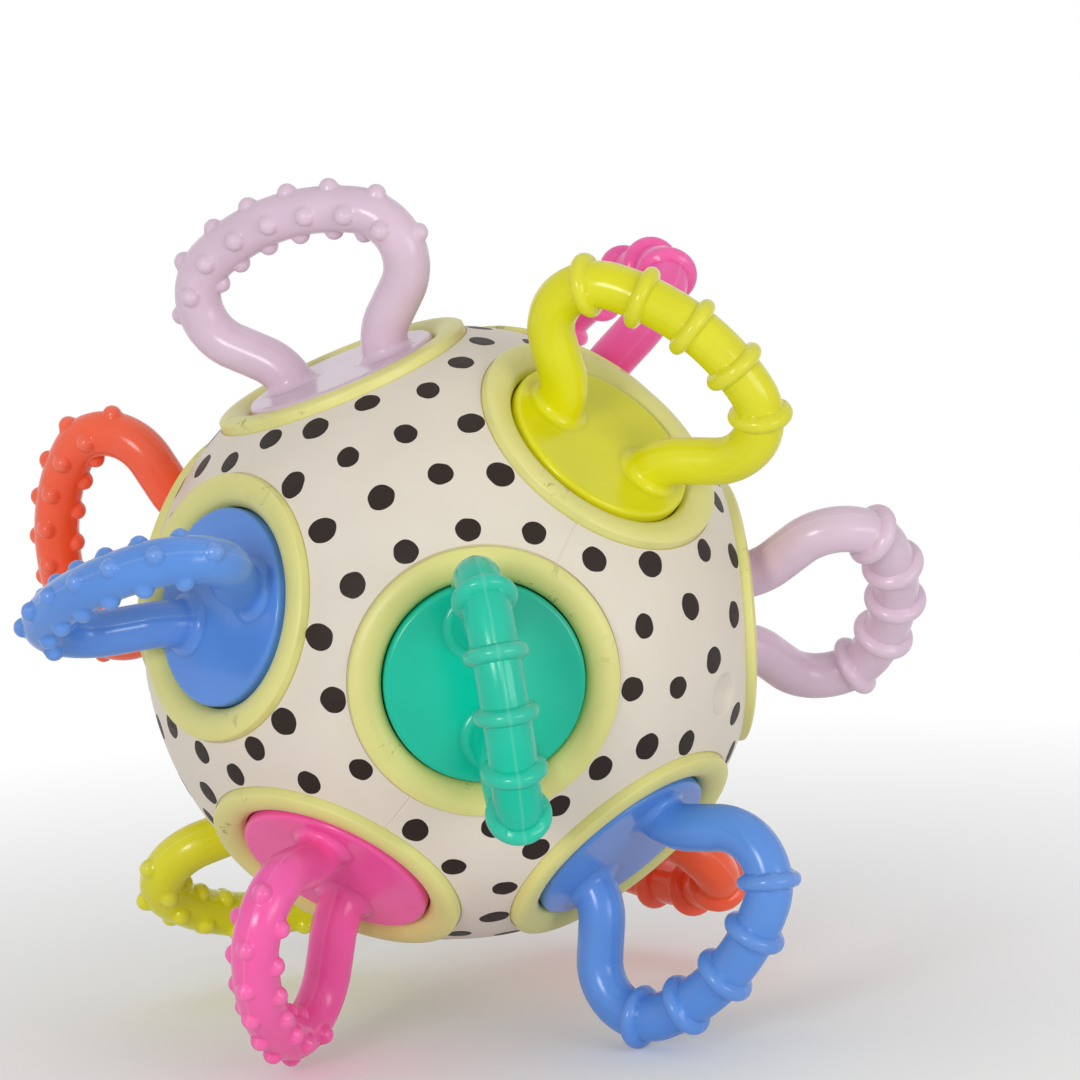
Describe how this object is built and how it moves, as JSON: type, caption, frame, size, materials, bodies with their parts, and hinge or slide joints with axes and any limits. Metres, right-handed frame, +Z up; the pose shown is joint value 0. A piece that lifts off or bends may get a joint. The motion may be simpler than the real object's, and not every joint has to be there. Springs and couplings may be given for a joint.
{
  "type": "sensory ball",
  "caption": "Hollow baby's ball with soft ring handles all round, each of which turns and pulls out a little in a ringed socket.",
  "frame": {"origin": "centre of the ball's hollow body", "axes": "+Z up, with four handles pointing down; -Y points along the ribbed teal handle in front, and +X along the ribbed purple handle"},
  "size_m": [0.1354, 0.1416, 0.1272],
  "materials": {
    "shell_plastic": "satin moulded plastic with printed dots",
    "bezel_plastic": "semi-gloss moulded plastic",
    "slider_plastic": "matte moulded plastic",
    "screw_steel": "plated steel",
    "pink_silicone": "smooth soft silicone, slightly satin",
    "teal_silicone": "smooth soft silicone, slightly satin",
    "yellow_silicone": "smooth soft silicone, slightly satin",
    "blue_silicone": "smooth soft silicone, slightly satin",
    "purple_silicone": "smooth soft silicone, slightly satin",
    "orange_silicone": "smooth soft silicone, slightly satin"
  },
  "bodies": {
    "ball": {"shell_upper": "shell_plastic", "shell_lower": "shell_plastic", "case_screws": "screw_steel", "screw_plugs": "shell_plastic", "bezel_pink_nubbed": "bezel_plastic", "bezel_teal_ribbed": "bezel_plastic", "bezel_yellow_ribbed": "bezel_plastic", "bezel_pink_ribbed": "bezel_plastic", "bezel_teal_nubbed": "bezel_plastic", "bezel_yellow_nubbed": "bezel_plastic", "bezel_blue_nubbed": "bezel_plastic", "bezel_purple_nubbed": "bezel_plastic", "bezel_orange_nubbed": "bezel_plastic", "bezel_blue_ribbed": "bezel_plastic", "bezel_purple_ribbed": "bezel_plastic", "bezel_orange_ribbed": "bezel_plastic"},
    "slide_pink_nubbed": {"slider_pink_nubbed": "slider_plastic"},
    "turn_pink_nubbed": {"loop_pink_nubbed": "pink_silicone", "screw_pink_nubbed": "screw_steel"},
    "slide_teal_ribbed": {"slider_teal_ribbed": "slider_plastic"},
    "turn_teal_ribbed": {"loop_teal_ribbed": "teal_silicone", "screw_teal_ribbed": "screw_steel"},
    "slide_yellow_ribbed": {"slider_yellow_ribbed": "slider_plastic"},
    "turn_yellow_ribbed": {"loop_yellow_ribbed": "yellow_silicone", "screw_yellow_ribbed": "screw_steel"},
    "slide_pink_ribbed": {"slider_pink_ribbed": "slider_plastic"},
    "turn_pink_ribbed": {"loop_pink_ribbed": "pink_silicone", "screw_pink_ribbed": "screw_steel"},
    "slide_teal_nubbed": {"slider_teal_nubbed": "slider_plastic"},
    "turn_teal_nubbed": {"loop_teal_nubbed": "teal_silicone", "screw_teal_nubbed": "screw_steel"},
    "slide_yellow_nubbed": {"slider_yellow_nubbed": "slider_plastic"},
    "turn_yellow_nubbed": {"loop_yellow_nubbed": "yellow_silicone", "screw_yellow_nubbed": "screw_steel"},
    "slide_blue_nubbed": {"slider_blue_nubbed": "slider_plastic"},
    "turn_blue_nubbed": {"loop_blue_nubbed": "blue_silicone", "screw_blue_nubbed": "screw_steel"},
    "slide_purple_nubbed": {"slider_purple_nubbed": "slider_plastic"},
    "turn_purple_nubbed": {"loop_purple_nubbed": "purple_silicone", "screw_purple_nubbed": "screw_steel"},
    "slide_orange_nubbed": {"slider_orange_nubbed": "slider_plastic"},
    "turn_orange_nubbed": {"loop_orange_nubbed": "orange_silicone", "screw_orange_nubbed": "screw_steel"},
    "slide_blue_ribbed": {"slider_blue_ribbed": "slider_plastic"},
    "turn_blue_ribbed": {"loop_blue_ribbed": "blue_silicone", "screw_blue_ribbed": "screw_steel"},
    "slide_purple_ribbed": {"slider_purple_ribbed": "slider_plastic"},
    "turn_purple_ribbed": {"loop_purple_ribbed": "purple_silicone", "screw_purple_ribbed": "screw_steel"},
    "slide_orange_ribbed": {"slider_orange_ribbed": "slider_plastic"},
    "turn_orange_ribbed": {"loop_orange_ribbed": "orange_silicone", "screw_orange_ribbed": "screw_steel"}
  },
  "joints": [
    {"name": "pink_nubbed_pull", "type": "slide", "parent": "ball", "child": "slide_pink_nubbed", "axis": [-0.5, -0.5, -0.7071], "range_m": [0, 0.003]},
    {"name": "pink_nubbed_turn", "type": "hinge", "parent": "slide_pink_nubbed", "child": "turn_pink_nubbed", "pos_m": [-0.02, -0.02, -0.02828], "axis": [-0.5, -0.5, -0.7071], "continuous": true},
    {"name": "teal_ribbed_pull", "type": "slide", "parent": "ball", "child": "slide_teal_ribbed", "axis": [0, -1, 0], "range_m": [0, 0.003]},
    {"name": "teal_ribbed_turn", "type": "hinge", "parent": "slide_teal_ribbed", "child": "turn_teal_ribbed", "pos_m": [0, -0.04, 0], "axis": [0, -1, 0], "continuous": true},
    {"name": "yellow_ribbed_pull", "type": "slide", "parent": "ball", "child": "slide_yellow_ribbed", "axis": [0.5, -0.5, 0.7071], "range_m": [0, 0.003]},
    {"name": "yellow_ribbed_turn", "type": "hinge", "parent": "slide_yellow_ribbed", "child": "turn_yellow_ribbed", "pos_m": [0.02, -0.02, 0.02828], "axis": [0.5, -0.5, 0.7071], "continuous": true},
    {"name": "pink_ribbed_pull", "type": "slide", "parent": "ball", "child": "slide_pink_ribbed", "axis": [0.5, 0.5, 0.7071], "range_m": [0, 0.003]},
    {"name": "pink_ribbed_turn", "type": "hinge", "parent": "slide_pink_ribbed", "child": "turn_pink_ribbed", "pos_m": [0.02, 0.02, 0.02828], "axis": [0.5, 0.5, 0.7071], "continuous": true},
    {"name": "teal_nubbed_pull", "type": "slide", "parent": "ball", "child": "slide_teal_nubbed", "axis": [0, 1, 0], "range_m": [0, 0.003]},
    {"name": "teal_nubbed_turn", "type": "hinge", "parent": "slide_teal_nubbed", "child": "turn_teal_nubbed", "pos_m": [0, 0.04, 0], "axis": [0, 1, 0], "continuous": true},
    {"name": "yellow_nubbed_pull", "type": "slide", "parent": "ball", "child": "slide_yellow_nubbed", "axis": [-0.5, 0.5, -0.7071], "range_m": [0, 0.003]},
    {"name": "yellow_nubbed_turn", "type": "hinge", "parent": "slide_yellow_nubbed", "child": "turn_yellow_nubbed", "pos_m": [-0.02, 0.02, -0.02828], "axis": [-0.5, 0.5, -0.7071], "continuous": true},
    {"name": "blue_nubbed_pull", "type": "slide", "parent": "ball", "child": "slide_blue_nubbed", "axis": [-0.8333, -0.5, 0.2357], "range_m": [0, 0.003]},
    {"name": "blue_nubbed_turn", "type": "hinge", "parent": "slide_blue_nubbed", "child": "turn_blue_nubbed", "pos_m": [-0.03333, -0.02, 0.00943], "axis": [-0.8333, -0.5, 0.2357], "continuous": true},
    {"name": "purple_nubbed_pull", "type": "slide", "parent": "ball", "child": "slide_purple_nubbed", "axis": [-0.3333, 0, 0.9428], "range_m": [0, 0.003]},
    {"name": "purple_nubbed_turn", "type": "hinge", "parent": "slide_purple_nubbed", "child": "turn_purple_nubbed", "pos_m": [-0.01333, 0, 0.03771], "axis": [-0.3333, 0, 0.9428], "continuous": true},
    {"name": "orange_nubbed_pull", "type": "slide", "parent": "ball", "child": "slide_orange_nubbed", "axis": [-0.8333, 0.5, 0.2357], "range_m": [0, 0.003]},
    {"name": "orange_nubbed_turn", "type": "hinge", "parent": "slide_orange_nubbed", "child": "turn_orange_nubbed", "pos_m": [-0.03333, 0.02, 0.00943], "axis": [-0.8333, 0.5, 0.2357], "continuous": true},
    {"name": "blue_ribbed_pull", "type": "slide", "parent": "ball", "child": "slide_blue_ribbed", "axis": [0.5, -0.5, -0.7071], "range_m": [0, 0.003]},
    {"name": "blue_ribbed_turn", "type": "hinge", "parent": "slide_blue_ribbed", "child": "turn_blue_ribbed", "pos_m": [0.02, -0.02, -0.02828], "axis": [0.5, -0.5, -0.7071], "continuous": true},
    {"name": "purple_ribbed_pull", "type": "slide", "parent": "ball", "child": "slide_purple_ribbed", "axis": [1, 0, 0], "range_m": [0, 0.003]},
    {"name": "purple_ribbed_turn", "type": "hinge", "parent": "slide_purple_ribbed", "child": "turn_purple_ribbed", "pos_m": [0.04, 0, 0], "axis": [1, 0, 0], "continuous": true},
    {"name": "orange_ribbed_pull", "type": "slide", "parent": "ball", "child": "slide_orange_ribbed", "axis": [0.5, 0.5, -0.7071], "range_m": [0, 0.003]},
    {"name": "orange_ribbed_turn", "type": "hinge", "parent": "slide_orange_ribbed", "child": "turn_orange_ribbed", "pos_m": [0.02, 0.02, -0.02828], "axis": [0.5, 0.5, -0.7071], "continuous": true}
  ]
}
